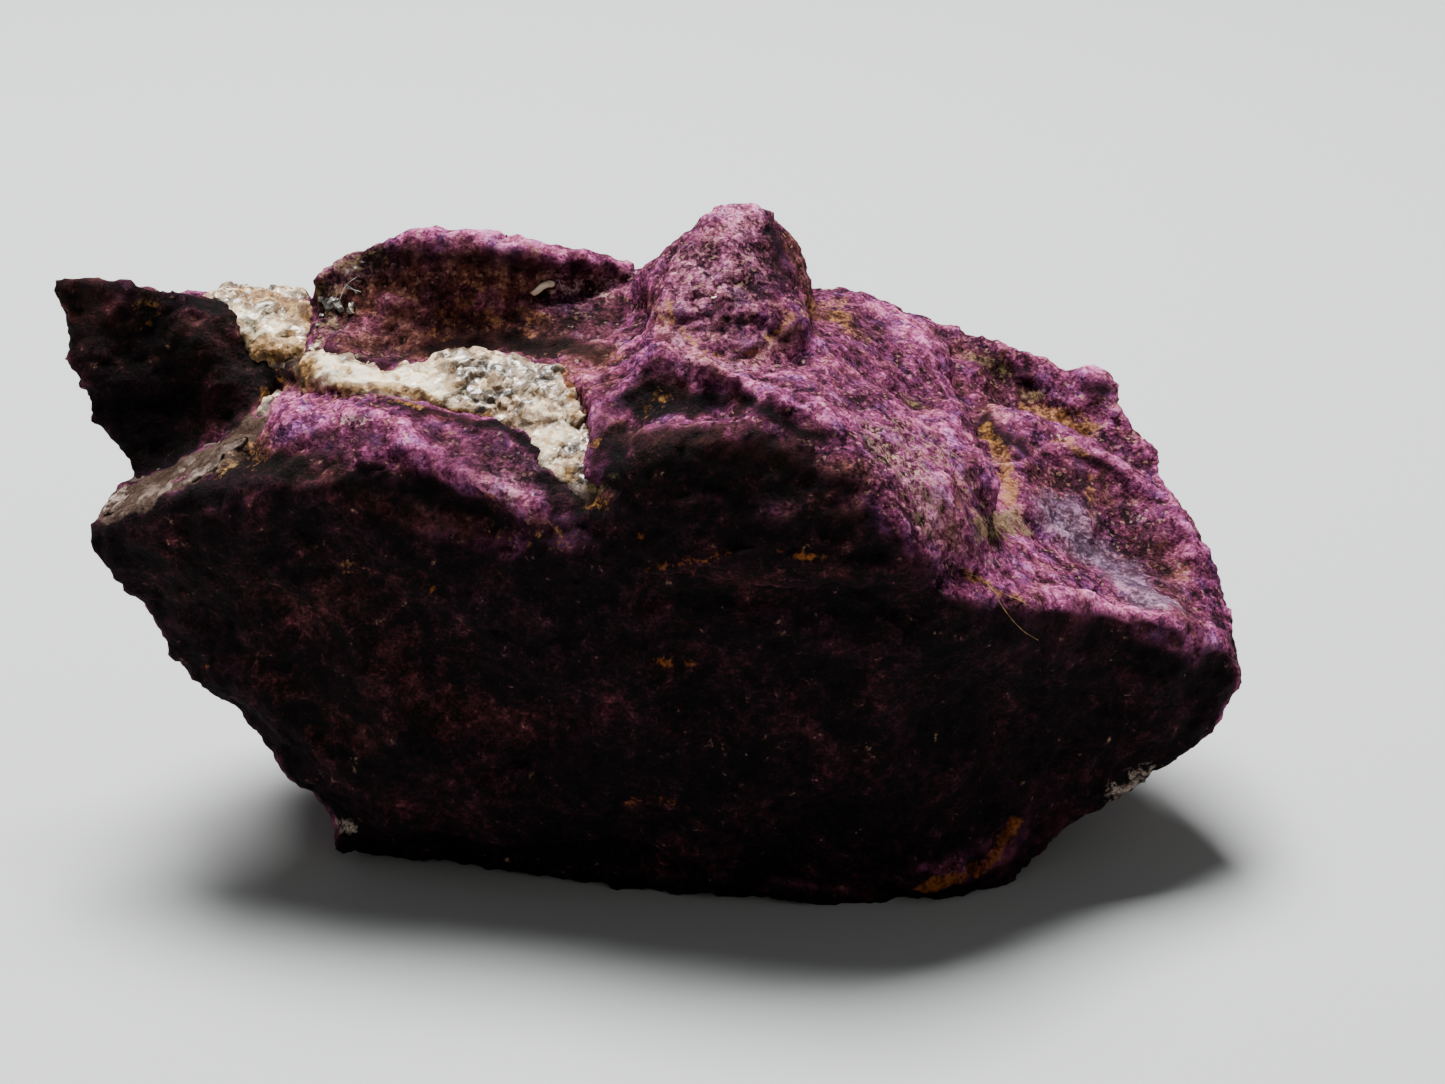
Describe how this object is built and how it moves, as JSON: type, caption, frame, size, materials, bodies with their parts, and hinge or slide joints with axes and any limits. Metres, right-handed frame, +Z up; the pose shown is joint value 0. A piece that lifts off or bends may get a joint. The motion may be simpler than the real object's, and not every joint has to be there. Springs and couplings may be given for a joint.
{
  "type": "purpurite mineral specimen",
  "caption": "Broken lump of rough purple phosphate rock with a horn, a rounded peak and a pale quartz and feldspar vein, resting on its flat underside.",
  "frame": {"origin": "on the resting face, under the middle of the specimen's box", "axes": "+X along the specimen towards its blunt right end, +Y away from the dark front face, +Z up"},
  "size_m": [0.0594, 0.0306, 0.0323],
  "materials": {
    "purpurite": "rough broken purple-black phosphate, velvety to dull, with ochre stains in its creases",
    "quartz_and_feldspar": "cream and grey glassy grains with an ochre rim"
  },
  "bodies": {
    "root": {"purpurite_mass": "purpurite", "quartz_vein": "quartz_and_feldspar"}
  },
  "joints": []
}
